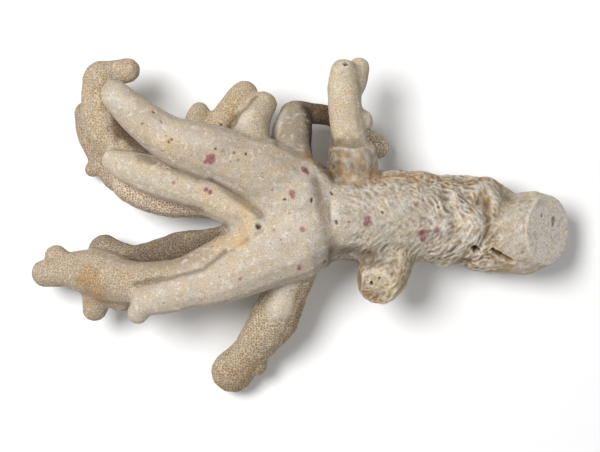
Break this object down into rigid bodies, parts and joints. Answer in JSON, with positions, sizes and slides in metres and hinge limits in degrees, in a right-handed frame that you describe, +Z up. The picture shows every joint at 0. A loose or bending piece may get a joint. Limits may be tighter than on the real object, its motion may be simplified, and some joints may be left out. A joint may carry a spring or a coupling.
{
  "type": "staghorn coral piece",
  "caption": "Branching stony coral skeleton lying on its side: a thick crusted trunk sawn off flat at one end opens into blunt, knobbly, fan-spread branches.",
  "frame": {"origin": "bottom centre of the bounding box, with the piece lying on its side as it rests", "axes": "+X along the trunk from the branch tips towards the sawn end, +Y across the fan of branches towards the tall branch and the hooked branch, +Z up"},
  "size_m": [0.3544, 0.22, 0.0961],
  "materials": {
    "worn_skeleton": "sea-worn coral limestone, cream and smooth, with faint corallite dimples",
    "honeycomb_skeleton": "unworn coral limestone, tan, covered in a fine honeycomb of corallite pits",
    "crusted_skeleton": "coral limestone under a rough grey and ochre crust, with red encrusting spots"
  },
  "bodies": {
    "root": {"trunk": "crusted_skeleton", "palm": "worn_skeleton", "front_branch": "worn_skeleton", "lower_branch": "worn_skeleton", "middle_branch": "worn_skeleton", "knobbly_branch": "honeycomb_skeleton", "slender_branch": "honeycomb_skeleton", "rear_stem": "honeycomb_skeleton", "hooked_branch": "honeycomb_skeleton", "rear_branch": "honeycomb_skeleton", "drooping_branch": "honeycomb_skeleton", "tall_branch": "honeycomb_skeleton", "shoulder_branch": "honeycomb_skeleton", "arched_branch": "honeycomb_skeleton", "right_finger": "honeycomb_skeleton", "middle_finger": "honeycomb_skeleton", "left_finger": "honeycomb_skeleton", "broken_stub": "crusted_skeleton"}
  },
  "joints": []
}
